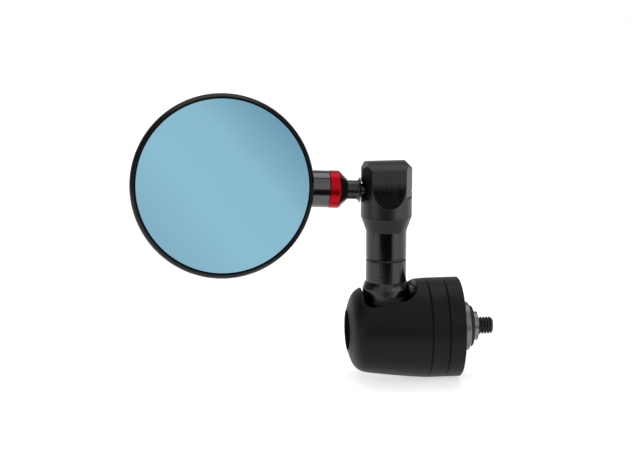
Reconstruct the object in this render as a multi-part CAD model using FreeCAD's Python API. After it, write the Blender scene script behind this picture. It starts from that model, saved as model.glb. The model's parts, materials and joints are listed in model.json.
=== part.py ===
"""Bar-end mirror: a round mirror on a jointed arm that stands in a bar-end weight.

Millimetres. The origin is the centre of the face that butts the handlebar's end, +X runs
into the handlebar, +Y away from the rider and +Z up. One STEP file is written per piece.
"""
import FreeCAD, Part
import math
import os

V = FreeCAD.Vector

# bar-end weight, along X; all its X values are from the handlebar's end face
WEIGHT_R = 16.9
OUTER_RING_X = -5.45
INNER_RING_X = -11.35
WEIGHT_X = -38.1
WEIGHT_NOSE_R = 7.1
WEIGHT_WAIST_X = -31.85
WEIGHT_WAIST_R = 14.6
NOSE_HANDLE = (1.2, 2.9)
WAIST_HANDLE = (4.9, 0.75)
FLANK_SWELL = 0.2
RING_EDGE = 0.3

# bolt that holds the weight in the bar, and what is stacked on it
BOLT_R = 3.0
BOLT_SHANK_R = 2.8
BOLT_HOLE_R = 3.25
THREAD_X = 6.55
BOLT_END_X = 11.65
BOLT_TIP = 0.8
BOLT_HEAD_R = 5.25
BOLT_HEAD_H = 3.3
BOLT_CROWN = (0.62, 0.92)
BOLT_CROWN_H = 1.3
BOLT_HEX = 4.0
BOLT_HEX_DEPTH = 2.0
RECESS_R = 6.8
RECESS_X = -32.0
BOLT_WASHER_R = 6.0
BOLT_WASHER_T = 1.2
DISC_R = 8.25
DISC_X = 3.3
SEAL_R = 6.9
SEAL_EDGE = 0.2
SEAL_X = 4.6
END_WASHER_R = 4.9
END_WASHER_BORE_R = 3.1
END_WASHER_X = 6.3

# arm, along Z
ARM_X = -24.95
ARM_R = 6.85
BASE_BALL_Z = 12.5
BASE_BALL_R = 8.2
BASE_BAND_R = 7.9
GROOVE_Z = 24.55
GROOVE_GAP = 0.35
GROOVE_CHAMFER = 0.35
TAPER_Z = 34.3
HEAD_Z = 39.2

# milled pocket of the weight that the lower ball stands in
POCKET_START_X = -33.4
POCKET_END_X = -15.3
POCKET_HALF_Y = 10.8
POCKET_START_CORNER = 3.0
POCKET_END_CORNER = 5.0
POCKET_FLOOR_Z = 9.0
SEAT_GAP = 0.04
PLUNGER_R = 2.3
FIT = 0.05

# shoulder screw of the swivel
SCREW_R = 2.0
SCREW_HEAD_R = 3.5
SCREW_HEAD_H = 3.4
SCREW_SEAT_Z = 15.0
SCREW_TOP_Z = 33.0
SCREW_HEX = 3.0
WAVE_T = 0.6

# head of the arm
JOINT_Z = 47.7
HEAD_R = 8.6
HEAD_TOP_R = 10.15
HEAD_FLAT_Y = 6.34
HEAD_CHAMFER = 2.4
FLAT_END_Z = 50.8
RUN_OUT_R = 15.0
FACET_ANGLE = 28.0
FACET_D = 8.12
FACET_Z = 45.7

# upper ball joint, along X from the ball's centre
BALL_R = 4.6
BORE_R = 5.35
BORE_END = 5.6
SOCKET_START = 0.9
SOCKET_HOLE_R = 3.45
SHANK_R = 2.2
CUP_START = 1.3
TENSION_R = 3.0
TENSION_HEX = 3.0
TENSION_HEX_DEPTH = 1.8
NECK_R = 3.17
FLANGE_START = 9.2
FLANGE_R = 4.35
FLANGE_FILLET = 1.3
FLANGE_HOLLOW = 0.2
STUD_R = 2.5
STUD_END = 23.6

# stem and mirror, measured from the ball's centre along the stem
CONE_START = 13.5
CONE_R = 3.5
RING_START = 16.15
RING_END = 19.75
RING_ROUND = 0.5
BOSS_START = 25.6
STEM_R = 6.2
STEM_EDGE = 0.15
ACCENT_R = 6.28
SPIGOT_R = 4.0
SPIGOT_END = 33.5
SOCKET_WALL_END = 32.0
SOCKET_TIP = 3.5
SOCKET_TIP_R = 3.0
MIRROR_S = 55.85
MIRROR_R = 30.6
GLASS_R = 29.15
GLASS_T = 2.0
GLASS_BEVEL = 0.4
GLASS_SET_BACK = 0.15
LIP_Y = -7.4
LIP_R = 29.5
LIP_CORNER = (30.36, -6.39)
RIM_Y = -4.6
BACK_Y = 6.2
WALL = 1.4
PAD_T = 0.8
PAD_MARGIN = 1.0
PAD_GAP = 0.5
LEDGE = 3.0

# how the mirror stands at rest
STEM_TILT = 3.15
MIRROR_PITCH = 12.0

GAP = 0.06


def cylinder(radius, start, end, axis=V(1, 0, 0), base=V(0, 0, 0)):
    """Cylinder on the line through base along axis, between two distances."""
    return Part.makeCylinder(radius, end - start, base + axis * start, axis)


def revolve_x(edges):
    """Solid of revolution about X from the closed outline of edges."""
    face = Part.Face(Part.Wire(edges))
    return face.revolve(V(0, 0, 0), V(1, 0, 0), 360)


def lathe(points, axis=V(1, 0, 0), base=V(0, 0, 0)):
    """Turned solid from (distance along the axis, radius) pairs; both ends close on the axis."""
    first = points[0][0]
    last = points[-1][0]
    outline = [(first, 0.0)] + list(points) + [(last, 0.0)]
    outline = [p for i, p in enumerate(outline) if i == 0 or p != outline[i - 1]]
    corners = [V(s, r, 0) for s, r in outline]
    edges = [Part.LineSegment(a, b).toShape() for a, b in zip(corners, corners[1:] + corners[:1])]
    solid = revolve_x(edges)
    turn = FreeCAD.Rotation(V(1, 0, 0), axis)
    solid.Placement = FreeCAD.Placement(base, turn)
    return solid


def prism(corners, depth):
    """Solid from a flat outline of corners, pushed along the vector depth."""
    wire = Part.makePolygon(list(corners) + [corners[0]])
    return Part.Face(wire).extrude(depth)


def hexagon(across_flats, start, end, axis=V(1, 0, 0), base=V(0, 0, 0)):
    """Hexagonal prism on the line through base along axis."""
    radius = across_flats / math.sqrt(3.0)
    turn = FreeCAD.Rotation(V(0, 0, 1), axis)
    corners = []
    for i in range(6):
        angle = math.radians(60.0 * i + 30.0)
        spoke = V(radius * math.cos(angle), radius * math.sin(angle), 0)
        corners.append(base + axis * start + turn.multVec(spoke))
    return prism(corners, axis * (end - start))


UP = V(0, 0, 1)
ARM = V(ARM_X, 0, 0)
BASE_BALL = V(ARM_X, 0, BASE_BALL_Z)
JOINT = V(ARM_X, 0, JOINT_Z)
LEFT = V(-1, 0, 0)


# bar-end weight ----------------------------------------------------------------------------

def weight_outline():
    """Outside of the weight body: a gently swelling flank that rounds over into the nose."""
    nose = V(WEIGHT_X, WEIGHT_NOSE_R, 0)
    waist = V(WEIGHT_WAIST_X, WEIGHT_WAIST_R, 0)
    shoulder = V(INNER_RING_X - RING_EDGE, WEIGHT_R, 0)
    corner = V(INNER_RING_X, WEIGHT_R - RING_EDGE, 0)
    dome = Part.BezierCurve()
    dome.setPoles([nose, nose + V(*NOSE_HANDLE, 0), waist - V(*WAIST_HANDLE, 0), waist])
    middle = (waist + shoulder) * 0.5 + V(0, FLANK_SWELL, 0)
    return [
        dome.toShape(),
        Part.Arc(waist, middle, shoulder).toShape(),
        Part.LineSegment(shoulder, corner).toShape(),
        Part.LineSegment(corner, V(INNER_RING_X, 0, 0)).toShape(),
        Part.LineSegment(V(INNER_RING_X, 0, 0), V(WEIGHT_X, 0, 0)).toShape(),
        Part.LineSegment(V(WEIGHT_X, 0, 0), nose).toShape(),
    ]


def pocket():
    """Upright milled pocket with round corners, on a round seat that fits the ball."""
    length = POCKET_END_X - POCKET_START_X
    height = WEIGHT_R * 2
    block = Part.makeBox(
        length,
        POCKET_HALF_Y * 2,
        height,
        V(POCKET_START_X, -POCKET_HALF_Y, POCKET_FLOOR_Z),
    )
    corners = {POCKET_START_X: POCKET_START_CORNER, POCKET_END_X: POCKET_END_CORNER}
    for wall_x, radius in corners.items():
        edges = [
            edge for edge in block.Edges
            if edge.Length > height - FIT
            and abs(edge.BoundBox.XMin - wall_x) < FIT
            and edge.BoundBox.XLength < FIT
            and edge.BoundBox.YLength < FIT
        ]
        block = block.makeFillet(radius, edges)
    return block.fuse(Part.makeSphere(BASE_BALL_R + SEAT_GAP, BASE_BALL))


def weight_body():
    body = revolve_x(weight_outline())
    body = body.cut(pocket())
    body = body.cut(cylinder(RECESS_R, WEIGHT_X - 1, RECESS_X))
    body = body.cut(cylinder(BOLT_HOLE_R, RECESS_X - 1, 1))
    return body.cut(cylinder(PLUNGER_R + FIT, ARM_X, 1, base=V(0, 0, BASE_BALL_Z)))


def spacer_ring(start, end):
    """Ring of the weight with its edges broken."""
    solid = lathe([
        (start, WEIGHT_R - RING_EDGE),
        (start + RING_EDGE, WEIGHT_R),
        (end - RING_EDGE, WEIGHT_R),
        (end, WEIGHT_R - RING_EDGE),
    ])
    return solid.cut(cylinder(BOLT_HOLE_R, start - 1, end + 1))


def register_disc():
    disc = lathe([(0, DISC_R), (DISC_X - RING_EDGE, DISC_R), (DISC_X, DISC_R - RING_EDGE)])
    return disc.cut(cylinder(BOLT_HOLE_R, -1, DISC_X + 1))


def seal_ring():
    """Flat rubber ring between the disc and the small washer."""
    ring = lathe([
        (DISC_X, SEAL_R - SEAL_EDGE),
        (DISC_X + SEAL_EDGE, SEAL_R),
        (SEAL_X - SEAL_EDGE, SEAL_R),
        (SEAL_X, SEAL_R - SEAL_EDGE),
    ])
    return ring.cut(cylinder(BOLT_HOLE_R, DISC_X - 1, SEAL_X + 1))


def clamp_washer():
    washer = cylinder(END_WASHER_R, SEAL_X, END_WASHER_X)
    return washer.cut(cylinder(END_WASHER_BORE_R, SEAL_X - 1, END_WASHER_X + 1))


def bolt_washer():
    start = RECESS_X - BOLT_WASHER_T
    washer = cylinder(BOLT_WASHER_R, start, RECESS_X)
    return washer.cut(cylinder(BOLT_HOLE_R, start - 1, RECESS_X + 1))


def main_bolt():
    """Button head, a shank a little thinner than the thread, and the thread at its crests."""
    head_x = RECESS_X - BOLT_WASHER_T
    top_x = head_x - BOLT_HEAD_H
    top, shoulder = BOLT_CROWN
    bolt = lathe([
        (top_x, BOLT_HEAD_R * top),
        (top_x + BOLT_CROWN_H, BOLT_HEAD_R * shoulder),
        (head_x, BOLT_HEAD_R),
        (head_x, BOLT_SHANK_R),
        (THREAD_X, BOLT_SHANK_R),
        (THREAD_X, BOLT_R),
        (BOLT_END_X - BOLT_TIP, BOLT_R),
        (BOLT_END_X, BOLT_R - BOLT_TIP),
    ])
    return bolt.cut(hexagon(BOLT_HEX, top_x - 1, top_x + BOLT_HEX_DEPTH))


def ball_plunger():
    """Round pad that the inner ring presses on the lower ball."""
    pad = cylinder(PLUNGER_R, ARM_X, INNER_RING_X - FIT, base=V(0, 0, BASE_BALL_Z))
    return pad.cut(Part.makeSphere(BASE_BALL_R + SEAT_GAP, BASE_BALL))


# arm ----------------------------------------------------------------------------------------

def lower_ball_arm():
    """Shaft with a ball at its foot; the ball has a straight band turned around its middle."""
    half_band = math.sqrt(BASE_BALL_R ** 2 - BASE_BAND_R ** 2)
    ball = Part.makeSphere(BASE_BALL_R, BASE_BALL)
    around = cylinder(BASE_BALL_R + 1, -half_band, half_band, UP, BASE_BALL)
    ball = ball.cut(around.cut(cylinder(BASE_BAND_R, -half_band, half_band, UP, BASE_BALL)))
    shaft = lathe([
        (BASE_BALL_Z, ARM_R),
        (GROOVE_Z - GROOVE_CHAMFER, ARM_R),
        (GROOVE_Z, ARM_R - GROOVE_CHAMFER),
    ], UP, ARM)
    arm = ball.fuse(shaft)
    arm = arm.cut(cylinder(SCREW_R + FIT, 0, GROOVE_Z + 1, UP, ARM))
    return arm.cut(cylinder(SCREW_HEAD_R + FIT, 0, SCREW_SEAT_Z, UP, ARM)).removeSplitter()


def wave_washer():
    """Spring washer under the head of the shoulder screw."""
    washer = cylinder(SCREW_HEAD_R - FIT, SCREW_SEAT_Z - WAVE_T, SCREW_SEAT_Z, UP, ARM)
    return washer.cut(cylinder(SCREW_R + FIT, 0, SCREW_SEAT_Z + 1, UP, ARM))


def swivel_screw():
    seat = SCREW_SEAT_Z - WAVE_T
    screw = lathe([
        (seat - SCREW_HEAD_H, SCREW_HEAD_R - FIT),
        (seat, SCREW_HEAD_R - FIT),
        (seat, SCREW_R),
        (SCREW_TOP_Z, SCREW_R),
    ], UP, ARM)
    return screw.cut(hexagon(SCREW_HEX, 0, seat - SCREW_HEAD_H / 2, UP, ARM))


def swivel_washer():
    washer = cylinder(ARM_R - GROOVE_CHAMFER, GROOVE_Z, GROOVE_Z + GROOVE_GAP, UP, ARM)
    return washer.cut(cylinder(SCREW_R + FIT, 0, TAPER_Z, UP, ARM))


def head_flat(side):
    """What the mill takes off one face of the head: a flat that runs out in a hollow."""
    flat = V(0, HEAD_FLAT_Y, FLAT_END_Z)
    depth = HEAD_R - HEAD_FLAT_Y + 1.0
    drop = math.sqrt(RUN_OUT_R ** 2 - (RUN_OUT_R - depth) ** 2)
    bend_angle = math.asin(drop / RUN_OUT_R) / 2
    centre = flat + V(0, RUN_OUT_R, 0)
    bend = centre + V(0, -RUN_OUT_R * math.cos(bend_angle), -RUN_OUT_R * math.sin(bend_angle))
    low = V(0, HEAD_FLAT_Y + depth, FLAT_END_Z - drop)
    top = V(0, HEAD_FLAT_Y, JOINT_Z + HEAD_TOP_R + 1)
    out = V(0, HEAD_FLAT_Y + depth, JOINT_Z + HEAD_TOP_R + 1)
    face = Part.Face(Part.Wire([
        Part.LineSegment(top, flat).toShape(),
        Part.Arc(flat, bend, low).toShape(),
        Part.LineSegment(low, out).toShape(),
        Part.LineSegment(out, top).toShape(),
    ]))
    tool = face.extrude(V(HEAD_R * 4, 0, 0))
    tool.translate(V(ARM_X - HEAD_R * 2, 0, 0))
    if side < 0:
        tool = tool.mirror(V(0, 0, 0), V(0, 1, 0))
    return tool


def head_facet(angle):
    """What comes off one corner of the head, down to the facet's lower end."""
    facet = Part.makeBox(HEAD_R, HEAD_R * 3, HEAD_R * 3, V(FACET_D, -HEAD_R * 1.5, FACET_Z))
    facet.rotate(V(0, 0, 0), UP, angle)
    facet.translate(ARM)
    return facet


def head_chamfer(side):
    """What comes off the head's top on the left or right, at 45 degrees."""
    top = JOINT_Z + HEAD_TOP_R
    start = HEAD_R - HEAD_CHAMFER
    reach = HEAD_CHAMFER * 4
    corners = [
        V(ARM_X + side * start, -HEAD_R * 2, top),
        V(ARM_X + side * (start + reach), -HEAD_R * 2, top - reach),
        V(ARM_X + side * (start + reach), -HEAD_R * 2, top + 1),
        V(ARM_X + side * start, -HEAD_R * 2, top + 1),
    ]
    return prism(corners, V(0, HEAD_R * 4, 0))


def head_crown():
    """Block that rounds the head's top about the ball's centre, along X."""
    drum = cylinder(HEAD_TOP_R, -HEAD_R * 2, HEAD_R * 2, base=JOINT)
    size = HEAD_TOP_R * 2
    below = Part.makeBox(HEAD_R * 4, size, JOINT_Z, V(ARM_X - HEAD_R * 2, -HEAD_TOP_R, 0))
    return drum.fuse(below)


def head_envelope():
    """Outside of the head and of the arm above the groove, before any hole is bored."""
    bottom = GROOVE_Z + GROOVE_GAP
    head = lathe([
        (bottom, ARM_R - GROOVE_CHAMFER),
        (bottom + GROOVE_CHAMFER, ARM_R),
        (TAPER_Z, ARM_R),
        (HEAD_Z, HEAD_R),
        (JOINT_Z + HEAD_TOP_R + 1, HEAD_R),
    ], UP, ARM)
    head = head.common(head_crown())
    tools = [head_flat(side) for side in (-1, 1)]
    tools += [head_chamfer(side) for side in (-1, 1)]
    tools += [head_facet(turn + lean) for turn in (0, 180) for lean in (-FACET_ANGLE, FACET_ANGLE)]
    for tool in tools:
        head = head.cut(tool)
    return head


def arm_head():
    head = head_envelope()
    head = head.cut(cylinder(BORE_R, -BORE_END, HEAD_R * 2, LEFT, JOINT))
    head = head.cut(cylinder(TENSION_R, -HEAD_R * 2, 0, LEFT, JOINT))
    return head.cut(cylinder(SCREW_R, 0, SCREW_TOP_Z + 1, UP, ARM))


# upper ball joint ----------------------------------------------------------------------------

def socket_ring():
    """Threaded ring that keeps the ball in the head, finished flush with the head's outside."""
    ring = cylinder(BORE_R, SOCKET_START, HEAD_R * 2, LEFT, JOINT).common(head_envelope())
    ring = ring.cut(Part.makeSphere(BALL_R + SEAT_GAP, JOINT))
    return ring.cut(cylinder(SOCKET_HOLE_R, 0, HEAD_R * 2, LEFT, JOINT))


def ball_cup():
    """Pad that presses on the back of the ball."""
    cup = cylinder(BORE_R - FIT, -BORE_END + FIT, -CUP_START, LEFT, JOINT)
    return cup.cut(Part.makeSphere(BALL_R + SEAT_GAP, JOINT))


def tension_screw():
    """Hex socket screw in the far side of the head that sets the joint's friction."""
    screw = cylinder(TENSION_R, -HEAD_R * 2, -BORE_END, LEFT, JOINT).common(head_envelope())
    return screw.cut(hexagon(TENSION_HEX, -HEAD_R * 2, TENSION_HEX_DEPTH - HEAD_R, LEFT, JOINT))


# stem and mirror: built with the ball's centre at the origin and the stem along -X ---------------

def at_rest(shape):
    """Stand a mirror piece on the ball: pitch about the stem, then lift the stem's end."""
    pitch = FreeCAD.Rotation(V(1, 0, 0), -MIRROR_PITCH)
    lift = FreeCAD.Rotation(V(0, 1, 0), STEM_TILT)
    shape.Placement = FreeCAD.Placement(JOINT, lift.multiply(pitch)).multiply(shape.Placement)
    return shape


def stem_lathe(points):
    return lathe(points, LEFT)


def ball_stud():
    """Ball, thin shank, a flange that hides the socket's hole, a neck and the threaded end."""
    flange_end = FLANGE_START + FLANGE_FILLET
    rim = V(-FLANGE_START, FLANGE_R, 0)
    neck = V(-flange_end, NECK_R, 0)
    bend = (rim + neck) * 0.5 + V(FLANGE_FILLET, NECK_R - FLANGE_R, 0) * FLANGE_HOLLOW
    corners = [
        neck,
        V(GAP - CONE_START, NECK_R, 0),
        V(GAP - CONE_START, STUD_R, 0),
        V(-STUD_END, STUD_R, 0),
        V(-STUD_END, 0, 0),
        V(0, 0, 0),
        V(0, SHANK_R, 0),
        V(-FLANGE_START, SHANK_R, 0),
        rim,
    ]
    edges = [Part.LineSegment(a, b).toShape() for a, b in zip(corners, corners[1:])]
    edges.append(Part.Arc(rim, bend, neck).toShape())
    stud = revolve_x(edges).fuse(Part.makeSphere(BALL_R))
    return at_rest(stud.removeSplitter())


def cone_collar():
    cone = stem_lathe([(CONE_START, CONE_R), (RING_START - FIT, STEM_R - STEM_EDGE)])
    return at_rest(cone.cut(cylinder(STUD_R + FIT, 0, RING_END, LEFT)))


def accent_ring():
    start = V(-RING_START, ACCENT_R - RING_ROUND, 0)
    end = V(-RING_END, ACCENT_R - RING_ROUND, 0)
    knee = RING_ROUND * math.sin(math.radians(45))
    first = start + V(-RING_ROUND, RING_ROUND, 0)
    last = end + V(RING_ROUND, RING_ROUND, 0)
    edges = [
        Part.Arc(start, start + V(knee - RING_ROUND, knee, 0), first).toShape(),
        Part.LineSegment(first, last).toShape(),
        Part.Arc(last, end + V(RING_ROUND - knee, knee, 0), end).toShape(),
        Part.LineSegment(end, V(-RING_END, 0, 0)).toShape(),
        Part.LineSegment(V(-RING_END, 0, 0), V(-RING_START, 0, 0)).toShape(),
        Part.LineSegment(V(-RING_START, 0, 0), start).toShape(),
    ]
    return at_rest(revolve_x(edges).cut(cylinder(STUD_R + FIT, 0, BOSS_START, LEFT)))


def back_sphere():
    """Radius and centre height of the sphere that shapes the dish's back."""
    depth = BACK_Y - RIM_Y
    radius = (MIRROR_R ** 2 + depth ** 2) / (2 * depth)
    return radius, BACK_Y - radius


def dish():
    """Outside of the mirror's dish: a rounded lip, then a domed back."""
    radius, centre_y = back_sphere()
    half_r = MIRROR_R / 2
    front = V(0, LIP_Y, 0)
    lip = V(LIP_R, LIP_Y, 0)
    rim = V(MIRROR_R, RIM_Y, 0)
    back = V(0, BACK_Y, 0)
    corner = V(*LIP_CORNER, 0)
    dome = V(half_r, centre_y + math.sqrt(radius ** 2 - half_r ** 2), 0)
    section = Part.Face(Part.Wire([
        Part.LineSegment(front, lip).toShape(),
        Part.Arc(lip, corner, rim).toShape(),
        Part.Arc(rim, dome, back).toShape(),
        Part.LineSegment(back, front).toShape(),
    ]))
    solid = section.revolve(V(0, 0, 0), V(0, 1, 0), 360)
    solid.translate(V(-MIRROR_S, 0, 0))
    return solid


def mirror_axis_cylinder(radius, start, end):
    return cylinder(radius, start, end, V(0, 1, 0), V(-MIRROR_S, 0, 0))


def mirror_stem():
    stem = stem_lathe([
        (RING_END, STEM_R - STEM_EDGE),
        (RING_END + STEM_EDGE, STEM_R),
        (BOSS_START, STEM_R),
    ])
    stem = stem.cut(dish())
    stem = stem.fuse(cylinder(SPIGOT_R, RING_END, SPIGOT_END, LEFT))
    bore = cylinder(STUD_R + FIT, 0, STUD_END + 1, LEFT)
    return at_rest(stem.cut(bore).removeSplitter())


def mirror_housing():
    """Dish with a ledge for the glass, and the socket on its back that takes the stem."""
    glass_back = LIP_Y + GLASS_T
    pad_back = glass_back + PAD_T
    radius, centre_y = back_sphere()
    hollow = Part.makeSphere(radius - WALL, V(-MIRROR_S, centre_y, 0))
    hollow = hollow.common(mirror_axis_cylinder(GLASS_R - LEDGE, pad_back, BACK_Y))
    socket = stem_lathe([
        (BOSS_START, STEM_R),
        (SOCKET_WALL_END, STEM_R),
        (SOCKET_WALL_END + SOCKET_TIP, SOCKET_TIP_R),
    ])
    shell = dish().cut(hollow).fuse(socket)
    shell = shell.cut(mirror_axis_cylinder(GLASS_R + GAP, LIP_Y - 1, glass_back))
    shell = shell.cut(mirror_axis_cylinder(GLASS_R - PAD_MARGIN, LIP_Y, pad_back))
    return at_rest(shell.cut(cylinder(SPIGOT_R, 0, SPIGOT_END, LEFT)).removeSplitter())


def glass_pad():
    glass_back = LIP_Y + GLASS_T
    radius = GLASS_R - PAD_MARGIN - PAD_GAP
    return at_rest(mirror_axis_cylinder(radius, glass_back, glass_back + PAD_T))


def mirror_glass():
    front = LIP_Y + GLASS_SET_BACK
    glass = lathe([
        (front, GLASS_R - GLASS_BEVEL),
        (front + GLASS_BEVEL, GLASS_R),
        (LIP_Y + GLASS_T, GLASS_R),
    ], V(0, 1, 0), V(-MIRROR_S, 0, 0))
    return at_rest(glass)


PIECES = {
    "weight_body": weight_body,
    "spacer_ring_inner": lambda: spacer_ring(INNER_RING_X, OUTER_RING_X),
    "spacer_ring_outer": lambda: spacer_ring(OUTER_RING_X, 0),
    "register_disc": register_disc,
    "seal_ring": seal_ring,
    "clamp_washer": clamp_washer,
    "bolt_washer": bolt_washer,
    "main_bolt": main_bolt,
    "ball_plunger": ball_plunger,
    "lower_ball_arm": lower_ball_arm,
    "wave_washer": wave_washer,
    "swivel_screw": swivel_screw,
    "swivel_washer": swivel_washer,
    "arm_head": arm_head,
    "socket_ring": socket_ring,
    "ball_cup": ball_cup,
    "tension_screw": tension_screw,
    "ball_stud": ball_stud,
    "cone_collar": cone_collar,
    "accent_ring": accent_ring,
    "mirror_stem": mirror_stem,
    "mirror_housing": mirror_housing,
    "glass_pad": glass_pad,
    "mirror_glass": mirror_glass,
}

os.makedirs("parts", exist_ok=True)
for name, build in PIECES.items():
    shape = build()
    print(name, len(shape.Solids), shape.isValid(), round(shape.Volume, 1))
    shape.exportStep("parts/" + name + ".step")
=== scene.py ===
"""Looks of the bar-end mirror: materials, fine geometry, studio and camera, in metres."""

import json
import math

import bmesh
import bpy
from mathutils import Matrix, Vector

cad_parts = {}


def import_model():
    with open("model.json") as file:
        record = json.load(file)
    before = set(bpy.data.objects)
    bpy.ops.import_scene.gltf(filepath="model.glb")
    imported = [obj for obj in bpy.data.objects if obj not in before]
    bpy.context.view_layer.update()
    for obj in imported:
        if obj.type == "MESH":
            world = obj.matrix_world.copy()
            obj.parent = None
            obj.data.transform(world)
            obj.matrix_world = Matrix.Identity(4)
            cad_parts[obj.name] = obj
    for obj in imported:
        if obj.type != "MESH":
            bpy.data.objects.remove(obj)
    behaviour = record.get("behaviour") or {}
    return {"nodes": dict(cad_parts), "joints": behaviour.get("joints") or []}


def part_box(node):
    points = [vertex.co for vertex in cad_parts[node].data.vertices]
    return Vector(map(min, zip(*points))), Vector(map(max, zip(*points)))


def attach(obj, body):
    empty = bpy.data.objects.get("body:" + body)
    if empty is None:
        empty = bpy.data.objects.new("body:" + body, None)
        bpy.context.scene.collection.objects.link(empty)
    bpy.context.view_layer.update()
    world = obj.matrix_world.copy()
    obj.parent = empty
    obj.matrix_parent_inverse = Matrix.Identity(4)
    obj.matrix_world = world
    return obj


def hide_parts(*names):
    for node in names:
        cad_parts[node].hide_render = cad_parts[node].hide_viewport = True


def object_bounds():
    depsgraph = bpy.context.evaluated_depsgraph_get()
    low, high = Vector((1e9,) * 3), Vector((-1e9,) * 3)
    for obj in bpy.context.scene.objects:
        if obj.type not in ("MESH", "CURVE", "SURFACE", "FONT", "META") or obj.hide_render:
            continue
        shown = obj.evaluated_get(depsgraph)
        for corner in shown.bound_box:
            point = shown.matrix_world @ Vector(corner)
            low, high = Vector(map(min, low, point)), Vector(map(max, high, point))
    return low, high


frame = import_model()
CAD_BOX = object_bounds()
NODES = frame["nodes"]
MM = 0.001


# --- places and directions taken from the frame ----------------------------------------------------

JOINTS = {joint["name"]: joint for joint in frame["joints"]}
ARM_FOOT = Vector(JOINTS["base_tilt"]["pos_m"])
BALL = Vector(JOINTS["mirror_nod"]["pos_m"])
STEM_DIR = Vector(JOINTS["mirror_spin"]["axis"]).normalized()
X_AXIS = Vector((1, 0, 0))
LOW, HIGH = CAD_BOX
CENTRE = (LOW + HIGH) / 2


# --- node material helpers ------------------------------------------------------------------------

class Shader:
    """A Principled material that is built node by node."""

    def __init__(self, name, **values):
        self.material = bpy.data.materials.new(name)
        self.material.use_nodes = True
        self.tree = self.material.node_tree
        self.bsdf = self.tree.nodes["Principled BSDF"]
        for socket, value in values.items():
            self.bsdf.inputs[socket.replace("_", " ")].default_value = value

    def node(self, kind, **settings):
        """A new node, with its settings and sockets filled in by name."""
        node = self.tree.nodes.new(kind)
        for key, value in settings.items():
            if hasattr(node, key):
                setattr(node, key, value)
            else:
                node.inputs[key.replace("_", " ")].default_value = value
        return node

    def link(self, source, target):
        self.tree.links.new(source, target)

    def drive(self, socket, value):
        self.link(value, self.bsdf.inputs[socket])

    def coordinate(self, kind="Object"):
        return self.node("ShaderNodeTexCoord").outputs[kind]

    def stretched(self, scale=(1, 1, 1)):
        """Object coordinates, stretched."""
        mapping = self.node("ShaderNodeMapping")
        mapping.inputs["Scale"].default_value = scale
        self.link(self.coordinate(), mapping.inputs["Vector"])
        return mapping.outputs["Vector"]

    def offset(self, point):
        """Object coordinates, measured from a point."""
        node = self.node("ShaderNodeVectorMath", operation="SUBTRACT")
        node.inputs[1].default_value = point
        self.link(self.coordinate(), node.inputs[0])
        return node.outputs[0]

    def dot(self, vector, axis):
        node = self.node("ShaderNodeVectorMath", operation="DOT_PRODUCT")
        node.inputs[1].default_value = axis
        self.link(vector, node.inputs[0])
        return node.outputs["Value"]

    def along(self, axis, per_metre):
        """Coordinates that change only along an axis: across it they draw turned lines."""
        line = self.node("ShaderNodeCombineXYZ")
        self.link(self.times(self.dot(self.coordinate(), axis), per_metre), line.inputs[2])
        return line.outputs[0]

    def split(self, vector):
        """The three parts of a vector."""
        node = self.node("ShaderNodeSeparateXYZ")
        self.link(vector, node.inputs[0])
        return node.outputs

    def maths(self, operation, first, second=0.0):
        node = self.node("ShaderNodeMath", operation=operation)
        for index, value in enumerate((first, second)):
            if isinstance(value, (int, float)):
                node.inputs[index].default_value = value
            else:
                self.link(value, node.inputs[index])
        return node.outputs[0]

    def add(self, first, second):
        return self.maths("ADD", first, second)

    def times(self, first, second):
        return self.maths("MULTIPLY", first, second)

    def over(self, value, limit):
        """1 where a value is over a limit, and 0 elsewhere."""
        return self.maths("GREATER_THAN", value, limit)

    def noise(self, vector, scale, detail=3.0, roughness=0.5):
        node = self.node("ShaderNodeTexNoise", Scale=scale, Detail=detail, Roughness=roughness)
        self.link(vector, node.inputs["Vector"])
        return node.outputs["Fac"]

    def spread(self, value, low, high):
        """A value from 0 to 1 mapped to low to high."""
        node = self.node("ShaderNodeMapRange")
        node.inputs["To Min"].default_value = low
        node.inputs["To Max"].default_value = high
        self.link(value, node.inputs["Value"])
        return node.outputs["Result"]

    def smooth(self, value, start, end):
        """A smooth change from 0 to 1 while a value goes from start to end."""
        node = self.node("ShaderNodeMapRange", interpolation_type="SMOOTHSTEP")
        node.inputs["From Min"].default_value = start
        node.inputs["From Max"].default_value = end
        self.link(value, node.inputs["Value"])
        return node.outputs["Result"]

    def colours(self, value, stops):
        ramp = self.node("ShaderNodeValToRGB")
        elements = ramp.color_ramp.elements
        while len(elements) < len(stops):
            elements.new(0.5)
        for element, (position, colour) in zip(elements, stops):
            element.position = position
            element.color = (*colour, 1.0)
        self.link(value, ramp.inputs["Fac"])
        return ramp.outputs["Color"]

    def bump(self, height, depth, chain=None):
        node = self.node("ShaderNodeBump", Strength=1.0, Distance=depth)
        self.link(height, node.inputs["Height"])
        if chain is not None:
            self.link(chain, node.inputs["Normal"])
        return node.outputs["Normal"]

    def surface(self, lines, depth):
        """Relief of the tool's lines, with fine specks at half their depth."""
        specks = self.noise(self.stretched(), SPECKS, 2.0)
        self.drive("Normal", self.bump(lines, depth, self.bump(specks, depth * 0.5)))


SPECKS = 2600.0
CLOUDS = 180.0
DARK_STOP = 0.3
LIGHT_STOP = 0.7
LINE_GLOSS = 0.05
FINE_DEPTH = 4e-6
STREAK_DEPTH = 6e-5


def metal(name, dark, light, roughness, grain, depth=FINE_DEPTH, **values):
    """A finish whose colour, gloss and surface follow the lines that a tool left."""
    shader = Shader(name, **values)
    lines = grain(shader)
    cloud = shader.noise(shader.stretched(), CLOUDS, 3.0)
    shader.drive("Base Color", shader.colours(lines, ((DARK_STOP, dark), (LIGHT_STOP, light))))
    rough = shader.spread(cloud, *roughness)
    shader.drive("Roughness", shader.add(rough, shader.spread(lines, -LINE_GLOSS, LINE_GLOSS)))
    shader.surface(lines, depth)
    return shader.material


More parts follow.
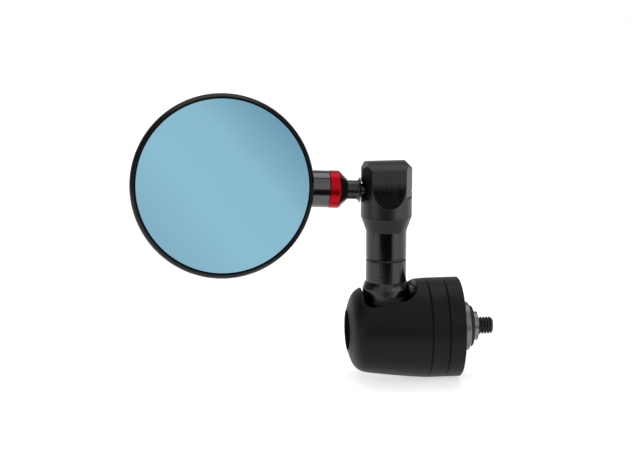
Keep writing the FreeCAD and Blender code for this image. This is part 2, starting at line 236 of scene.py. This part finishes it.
def turned(axis):
    """Fine lines around an axis."""
    return lambda shader: shader.noise(shader.along(axis, 2400.0), 1.0, 5.0, 0.7)


def upright(shader):
    """Fine streaks that run up and down the arm."""
    return shader.noise(shader.stretched((1300.0, 1300.0, 50.0)), 1.0, 4.0, 0.65)


def moulded(shader):
    return shader.noise(shader.stretched(), 900.0, 3.0)


def paint(node, material):
    """Give a CAD node its finish."""
    mesh = NODES[node].data
    mesh.materials.clear()
    mesh.materials.append(material)


NEUTRAL = (1.0, 1.0, 1.0)
WARM_DARK = (1.0, 0.98, 0.92)
WARM_LIGHT = (1.0, 0.98, 0.94)


def shade(level, tint=NEUTRAL):
    return tuple(level * part for part in tint)


# --- the finishes of the arm ------------------------------------------------------------------------

ARM_ROUGHNESS = (0.07, 0.12)
FACES_FRONT = 0.6

# The head, with heights measured from the middle of its ball.
HEAD_LOW, HEAD_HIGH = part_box("arm_head")
HEAD_R = (HEAD_HIGH.x - HEAD_LOW.x) / 2
RIM_MARGIN = 0.06 * MM
CROWN_FOOT = 7.8 * MM
HOLLOW_TOP = 3.1 * MM
HOLLOW_FOOT = -6.0 * MM
TAPER_TOP = -7.2 * MM
TAPER_FOOT = -13.4 * MM
TAPER_FADE = 2.0 * MM
FADE_BELOW = 2.6 * MM
FADE_ABOVE = 1.4 * MM
RAGGED = 1.6 * MM
HEAD_LEVELS = (0.0004, 0.0035)
# Base colour of the painted sheen on the upper milled flats.
PAINTED_SHEEN_LEVELS = (0.02, 0.036)
CUT_LEVEL = 0.05
CUT_SHARPNESS = 4.0
STREAK_GLOSS = 0.03
BRUSHED_ROUGHNESS = 0.24
PLAIN_SPECULAR = 0.5
HOLLOW_LESS = 0.34
MILLED_LESS = 0.13
TAPER_LESS = 0.2
CROWN_LESS = 0.17


def head_finish():
    """Glossy turned arm; its milled flats are satin, with a painted sheen at the top that fades to dull,
    dark hollows with upright streaks.
    """
    shader = Shader("head_black")
    shader.surface(upright(shader), STREAK_DEPTH)
    streaks = shader.noise(shader.stretched((1900.0, 1900.0, 60.0)), 1.0, 5.0, 0.7)
    across, out, height = shader.split(shader.offset(BALL))
    square = shader.add(shader.times(across, across), shader.times(out, out))

    # 1 on the milled flats and 0 elsewhere; on them the satin mask, which carries the painted sheen,
    # fades from 1 at the top to 0 in the hollow.
    inside = shader.maths("LESS_THAN", shader.maths("SQRT", square), HEAD_R - RIM_MARGIN)
    front = shader.maths("ABSOLUTE", shader.split(shader.coordinate("Normal"))[1])
    above = shader.over(height, HOLLOW_FOOT)
    milled = shader.times(shader.times(inside, above), shader.over(front, FACES_FRONT))
    edge = shader.add(height, shader.spread(streaks, -RAGGED, RAGGED))
    satin = shader.times(shader.smooth(edge, HOLLOW_TOP - FADE_BELOW, HOLLOW_TOP + FADE_ABOVE), milled)
    hollow = shader.maths("SUBTRACT", milled, satin)

    # Painted sheen: a lighter base colour on the upper milled flats stands in for light falling on them.
    painted_sheen = shader.times(satin, shader.spread(streaks, *PAINTED_SHEEN_LEVELS))
    cuts = shader.times(shader.maths("POWER", streaks, CUT_SHARPNESS), CUT_LEVEL)
    base = shader.add(painted_sheen, shader.times(hollow, cuts))
    shader.drive("Base Color", shader.add(base, shader.spread(streaks, *HEAD_LEVELS)))

    low, high = ARM_ROUGHNESS
    above_foot = shader.over(height, TAPER_FOOT)
    rough = shader.spread(streaks, low - STREAK_GLOSS, high + STREAK_GLOSS)
    shader.drive("Roughness", shader.add(rough, shader.times(above_foot, BRUSHED_ROUGHNESS)))

    taper = shader.times(shader.smooth(height, TAPER_TOP, TAPER_TOP - TAPER_FADE), above_foot)
    less = shader.add(shader.times(hollow, HOLLOW_LESS), shader.times(milled, MILLED_LESS))
    less = shader.add(less, shader.times(taper, TAPER_LESS))
    less = shader.add(less, shader.times(shader.over(height, CROWN_FOOT), CROWN_LESS))
    shader.drive("Specular IOR Level", shader.maths("SUBTRACT", PLAIN_SPECULAR, less))
    return shader.material


# Painted light patch: low on the front and back of the ball, the colour is lighter and the surface
# rougher.
PATCH_TOP = 0.6 * MM
PATCH_FULL = -0.9 * MM
PATCH_RAGGED = 0.4 * MM
PATCH_FACING = (0.68, 0.86)
PAINTED_LIGHT_LEVELS = (0.012, 0.045)
PATCH_ROUGHNESS = 0.25
ARM_LEVELS = (0.0008, 0.0035)


def ball_finish():
    """The arm's finish, with a painted light patch, lighter and rougher, low on the front and back of the
    ball.
    """
    shader = Shader("ball_black")
    shader.surface(upright(shader), STREAK_DEPTH)
    streaks = shader.noise(shader.stretched((1300.0, 1300.0, 90.0)), 1.0, 4.0, 0.6)
    height = shader.split(shader.coordinate())[2]
    level = shader.add(height, shader.spread(streaks, -PATCH_RAGGED, PATCH_RAGGED))
    low = shader.smooth(level, ARM_FOOT.z + PATCH_TOP, ARM_FOOT.z + PATCH_FULL)
    facing = shader.maths("ABSOLUTE", shader.split(shader.coordinate("Normal"))[1])
    # The painted light patch: lighter colour and more roughness low on the ball's front and back.
    light_patch = shader.times(low, shader.smooth(facing, *PATCH_FACING))
    painted_light = shader.times(light_patch, shader.spread(streaks, *PAINTED_LIGHT_LEVELS))
    shader.drive("Base Color", shader.add(painted_light, shader.spread(streaks, *ARM_LEVELS)))
    rough = shader.spread(streaks, *ARM_ROUGHNESS)
    shader.drive("Roughness", shader.add(rough, shader.times(light_patch, PATCH_ROUGHNESS)))
    return shader.material


# --- the finishes of the mirror and of the rest ---------------------------------------------------------

# The glass's blue tint carries a painted reflection: lightest near the middle, darker towards the upper
# outer edge, along this slant.
PAINTED_REFLECTION_DIR = Vector((0.75, 0.0, 0.66))
GLASS_CLOUDS = 30.0
TINT_AND_PAINTED_REFLECTION = (
    (0.0, (0.225, 0.425, 0.54)),
    (0.35, (0.26, 0.5, 0.63)),
    (0.7, (0.25, 0.48, 0.61)),
    (1.0, (0.15, 0.32, 0.44)),
)


def glass_finish():
    """Blue first-surface mirror; a painted reflection in its colour makes it darker towards its upper
    outer edge.
    """
    shader = Shader("mirror_blue", Metallic=1.0)
    low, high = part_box("mirror_glass")
    centre = (low + high) / 2
    # Painted reflection: the colour follows a slant across the glass, with faint clouds.
    distance = shader.dot(shader.offset(centre), PAINTED_REFLECTION_DIR / (high.x - low.x))
    cloud = shader.noise(shader.stretched(), GLASS_CLOUDS, 2.0)
    depth = shader.add(distance, shader.spread(cloud, 0.44, 0.56))
    shader.drive("Base Color", shader.colours(depth, TINT_AND_PAINTED_REFLECTION))
    shader.drive("Roughness", shader.spread(cloud, 0.02, 0.04))
    return shader.material


def make_materials():
    """The finish of each CAD node; the nodes of one colour share a material."""
    stem_lines = turned(STEM_DIR)
    bar_lines = turned(X_AXIS)
    weight = metal(
        "weight_black", shade(0.0022), shade(0.0036), (0.4, 0.48), bar_lines, Specular_IOR_Level=0.17,
    )
    black = metal("black_turned", shade(0.0015), shade(0.003), (0.2, 0.3), stem_lines)
    rim = metal("rim_black", shade(0.001), shade(0.002), (0.24, 0.32), moulded, Specular_IOR_Level=0.22)
    stem = metal("stem_grey", shade(0.0015), shade(0.003), (0.12, 0.2), stem_lines, IOR=1.85)
    red = metal(
        "ring_red", (0.33, 0.004, 0.01), (0.48, 0.008, 0.018), (0.3, 0.4), stem_lines, Metallic=1.0,
    )
    satin = metal("satin_aluminium", shade(0.12), shade(0.22), (0.32, 0.42), bar_lines, Metallic=1.0)
    zinc = metal("zinc", shade(0.14), shade(0.22), (0.24, 0.34), bar_lines, Metallic=1.0)
    rubber = metal(
        "rubber_black", shade(0.006), shade(0.012), (0.5, 0.62), moulded, Specular_IOR_Level=0.3,
    )
    steel = metal("bolt_black", shade(0.008), shade(0.016), (0.3, 0.4), bar_lines)
    nylon = metal("nylon", shade(0.6, WARM_DARK), shade(0.7, WARM_LIGHT), (0.4, 0.5), moulded)
    acetal = metal("acetal_black", shade(0.005), shade(0.01), (0.4, 0.5), moulded)
    foam = metal("foam_grey", shade(0.02), shade(0.04), (0.7, 0.8), moulded, depth=2e-5)
    head = head_finish()
    return {
        "weight_body": weight, "spacer_ring_inner": weight, "spacer_ring_outer": weight,
        "register_disc": satin, "seal_ring": rubber, "clamp_washer": zinc, "bolt_washer": zinc,
        "main_bolt": steel, "ball_plunger": steel, "lower_ball_arm": ball_finish(), "wave_washer": zinc,
        "swivel_screw": steel, "swivel_washer": acetal, "arm_head": head, "socket_ring": head,
        "ball_cup": nylon, "tension_screw": steel, "ball_stud": black, "cone_collar": black,
        "accent_ring": red, "mirror_stem": stem, "mirror_housing": rim, "glass_pad": foam,
        "mirror_glass": glass_finish(),
    }


MATERIALS = make_materials()
for node, material in MATERIALS.items():
    paint(node, material)


# --- the bolt, with a cut thread and a hex socket ----------------------------------------------------

BOLT_LOW, BOLT_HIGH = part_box("main_bolt")
THREAD_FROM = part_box("clamp_washer")[1].x
HEAD_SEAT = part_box("bolt_washer")[0].x
AROUND = 96
ROWS_PER_TURN = 14
CROWN_ROWS = 8
SHARP_ANGLE = math.radians(38)
PITCH = 1.0 * MM
CREST_R = 3.0 * MM
ROOT_R = 2.45 * MM
SHANK_R = 2.8 * MM
TOOTH_SLOPE = 1.35
ROOT_FLAT = 0.12
TIP = 0.7 * MM
TIP_ROUND = 0.2 * MM
HEX_FLATS = 4.0 * MM
HEX_DEPTH = 2.0 * MM
HEX_CHAMFER = 0.25 * MM
HEX_FLARE = 0.3 * MM
HEAD_FLAT = 0.6
HEAD_RIM = 0.3 * MM
SEAT_EDGE = 0.1 * MM


def rings_to_mesh(name, rings):
    """Skin a list of (x, radius function of angle) rings, with a cap on the first and the last."""
    verts = []
    for x, radius in rings:
        for i in range(AROUND):
            angle = 2 * math.pi * i / AROUND
            r = radius(angle)
            verts.append((x, r * math.cos(angle), r * math.sin(angle)))
    faces = []
    for row in range(len(rings) - 1):
        for i in range(AROUND):
            j = (i + 1) % AROUND
            a, b = row * AROUND, (row + 1) * AROUND
            faces.append((a + i, a + j, b + j, b + i))
    for row, order in ((0, -1), (len(rings) - 1, 1)):
        ring = list(range(row * AROUND, (row + 1) * AROUND))
        faces.append(tuple(ring[::order]))
    mesh = bpy.data.meshes.new(name)
    mesh.from_pydata(verts, [], faces)
    work = bmesh.new()
    work.from_mesh(mesh)
    bmesh.ops.recalc_face_normals(work, faces=work.faces)
    work.to_mesh(mesh)
    work.free()
    mesh.shade_smooth()
    mesh.set_sharp_from_angle(angle=SHARP_ANGLE)
    return mesh


def circle(radius):
    return lambda angle: radius


def hexagon(flats):
    """Radius of a hexagon, of the given width across its flats, at an angle."""
    sixth = math.pi / 3
    return lambda angle: flats / 2 / math.cos((angle % sixth) - sixth / 2)


def thread_radius(x, start, end):
    """Radius of the helical thread at a distance along the bolt."""
    run_in = min(1.0, max(0.0, (x - start) / PITCH))
    limit = CREST_R - max(0.0, x - (end - TIP))

    def radius(angle):
        phase = (x / PITCH - angle / (2 * math.pi)) % 1.0
        tooth = min(1.0, max(0.0, TOOTH_SLOPE * (1.0 - abs(2.0 * phase - 1.0)) - ROOT_FLAT))
        cut = SHANK_R + (ROOT_R + (CREST_R - ROOT_R) * tooth - SHANK_R) * run_in
        return min(cut, limit)

    return radius


def bolt():
    """The bolt from the floor of its hex socket, over its rounded head, to the thread's tip."""
    top = BOLT_LOW.x
    end = BOLT_HIGH.x
    head_r = BOLT_HIGH.y
    rings = [
        (top + HEX_DEPTH, hexagon(HEX_FLATS)),
        (top + HEX_CHAMFER, hexagon(HEX_FLATS)),
        (top, hexagon(HEX_FLATS + HEX_FLARE)),
        (top, circle(head_r * HEAD_FLAT)),
    ]
    for step in range(1, CROWN_ROWS + 1):
        turn = math.pi / 2 * step / CROWN_ROWS
        height = (HEAD_SEAT - top - HEAD_RIM) * (1 - math.cos(turn))
        rings.append((top + height, circle(head_r * (HEAD_FLAT + (1 - HEAD_FLAT) * math.sin(turn)))))
    rings += [
        (HEAD_SEAT - SEAT_EDGE, circle(head_r)),
        (HEAD_SEAT, circle(head_r - SEAT_EDGE)),
        (HEAD_SEAT, circle(SHANK_R)),
    ]
    start = THREAD_FROM - PITCH
    rows = int((end - start) / PITCH * ROWS_PER_TURN)
    for row in range(rows + 1):
        x = start + (end - start) * row / rows
        rings.append((x, thread_radius(x, start, end)))
    rings.append((end, circle(CREST_R - TIP - TIP_ROUND)))
    obj = bpy.data.objects.new("threaded_bolt", rings_to_mesh("threaded_bolt", rings))
    obj.data.materials.append(MATERIALS["main_bolt"])
    bpy.context.scene.collection.objects.link(obj)
    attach(obj, "weight")
    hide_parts("main_bolt")


bolt()


# --- studio -----------------------------------------------------------------------------------------

FLOOR_FRONT = 0.128
FLOOR_BACK = 0.75
FLOOR_HALF = 0.75
FLOOR_GLOW = 0.6
FLAG_SETBACK = 8 * MM
FLAG_LEFT = 42 * MM
FLAG_RIGHT = 21 * MM
FLAG_LIFT = 0.2 * MM
FLAG_HEIGHT = 13 * MM
ROOM_FRONT = 0.015
ROOM_SIDES = 0.22
ROOM_CHANGE = (0.45, 0.7)


def stage_sheet(name, corners, shader):
    """A flat four-cornered sheet that belongs to the studio."""
    mesh = bpy.data.meshes.new(name)
    mesh.from_pydata(corners, [], [(0, 1, 2, 3)])
    mesh.materials.append(shader.material)
    obj = bpy.data.objects.new(name, mesh)
    bpy.context.scene.collection.objects.link(obj)
    return obj


def floor():
    """Pale table top; it ends not far in front of the object, as a studio table does."""
    left, right = CENTRE.x - FLOOR_HALF, CENTRE.x + FLOOR_HALF
    front, back = -FLOOR_FRONT, FLOOR_BACK
    corners = [(left, front, LOW.z), (right, front, LOW.z), (right, back, LOW.z), (left, back, LOW.z)]
    stage_sheet("floor", corners, Shader(
        "floor_white", Roughness=0.32, Base_Color=(0.85, 0.85, 0.85, 1), Specular_IOR_Level=0.3,
        Emission_Color=(1, 1, 1, 1), Emission_Strength=FLOOR_GLOW,
    ))


def flag():
    """Low dark card near the front edge of the table, which is seen only in reflections."""
    front = -FLOOR_FRONT + FLAG_SETBACK
    left, right = ARM_FOOT.x - FLAG_LEFT, ARM_FOOT.x + FLAG_RIGHT
    foot, top = LOW.z + FLAG_LIFT, LOW.z + FLAG_HEIGHT
    corners = [(left, front, foot), (right, front, foot), (right, front, top), (left, front, top)]
    card = stage_sheet("flag", corners, Shader(
        "flag_black", Base_Color=(0.01, 0.01, 0.01, 1), Roughness=0.9,
    ))
    card.visible_camera = False
    card.visible_shadow = False


def away_from(azimuth, elevation):
    """Direction to a place around the object; azimuth 0 is in front of it."""
    turn = math.radians(azimuth)
    rise = math.radians(elevation)
    return Vector((
        math.sin(turn) * math.cos(rise),
        -math.cos(turn) * math.cos(rise),
        math.sin(rise),
    ))


def softbox(name, azimuth, elevation, distance, size, radiance):
    """Area light that faces the object from a direction."""
    light = bpy.data.lights.new(name, "AREA")
    light.shape = "RECTANGLE"
    light.size, light.size_y = size
    light.energy = radiance * math.pi * size[0] * size[1]
    away = away_from(azimuth, elevation)
    obj = bpy.data.objects.new(name, light)
    obj.location = CENTRE + away * distance
    obj.rotation_euler = away.to_track_quat("Z", "Y").to_euler()
    obj.visible_camera = False
    bpy.context.scene.collection.objects.link(obj)


def world():
    """White to the camera; for light and reflections, a grey room that is dark in front."""
    studio = bpy.data.worlds.new("studio")
    studio.use_nodes = True
    tree = studio.node_tree
    bpy.context.scene.world = studio
    room = tree.nodes["Background"]
    room.inputs["Color"].default_value = (1, 1, 1, 1)
    direction = tree.nodes.new("ShaderNodeTexCoord")
    facing = tree.nodes.new("ShaderNodeVectorMath")
    facing.operation = "DOT_PRODUCT"
    facing.inputs[1].default_value = (0, -1, 0)
    level = tree.nodes.new("ShaderNodeMapRange")
    level.inputs["From Min"].default_value = ROOM_CHANGE[0]
    level.inputs["From Max"].default_value = ROOM_CHANGE[1]
    level.inputs["To Min"].default_value = ROOM_SIDES
    level.inputs["To Max"].default_value = ROOM_FRONT
    tree.links.new(direction.outputs["Generated"], facing.inputs[0])
    tree.links.new(facing.outputs["Value"], level.inputs["Value"])
    tree.links.new(level.outputs["Result"], room.inputs["Strength"])
    white = tree.nodes.new("ShaderNodeBackground")
    white.inputs["Color"].default_value = (1, 1, 1, 1)
    path = tree.nodes.new("ShaderNodeLightPath")
    mix = tree.nodes.new("ShaderNodeMixShader")
    tree.links.new(path.outputs["Is Camera Ray"], mix.inputs["Fac"])
    tree.links.new(room.outputs[0], mix.inputs[1])
    tree.links.new(white.outputs[0], mix.inputs[2])
    tree.links.new(mix.outputs[0], tree.nodes["World Output"].inputs["Surface"])


floor()
flag()
world()
softbox("overhead", azimuth=180, elevation=75, distance=0.8, size=(0.9, 0.6), radiance=1.6)
softbox("back", azimuth=180, elevation=14, distance=0.95, size=(1.7, 0.7), radiance=0.4)
softbox("front_right_top", azimuth=17.5, elevation=29, distance=1.0, size=(0.71, 0.8), radiance=1.0)
softbox("front_left_top", azimuth=-31, elevation=29, distance=1.0, size=(0.536, 0.8), radiance=1.0)
softbox("front_high", azimuth=0, elevation=64, distance=1.0, size=(0.9, 0.36), radiance=0.8)
softbox("left", azimuth=-65, elevation=0, distance=0.8, size=(0.6, 0.9), radiance=0.7)
softbox("right", azimuth=52, elevation=0, distance=0.8, size=(0.65, 0.9), radiance=1.7)


# --- camera -----------------------------------------------------------------------------------------

CAMERA_AZIMUTH = -7.5
CAMERA_ELEVATION = 12.8
CAMERA_DISTANCE = 0.9
SENSOR_WIDTH = 36.0
VIEW_WIDTH = 0.2116
AIM = Vector((CENTRE.x + 1.1 * MM, 0.0, CENTRE.z))


def camera():
    data = bpy.data.cameras.new("camera")
    data.sensor_width = SENSOR_WIDTH
    data.lens = SENSOR_WIDTH * CAMERA_DISTANCE / VIEW_WIDTH
    data.clip_end = 20.0
    away = away_from(CAMERA_AZIMUTH, CAMERA_ELEVATION)
    obj = bpy.data.objects.new("camera", data)
    obj.location = AIM + away * CAMERA_DISTANCE
    obj.rotation_euler = away.to_track_quat("Z", "Y").to_euler()
    bpy.context.scene.collection.objects.link(obj)
    bpy.context.scene.camera = obj


camera()
bpy.context.scene.view_settings.view_transform = "Standard"
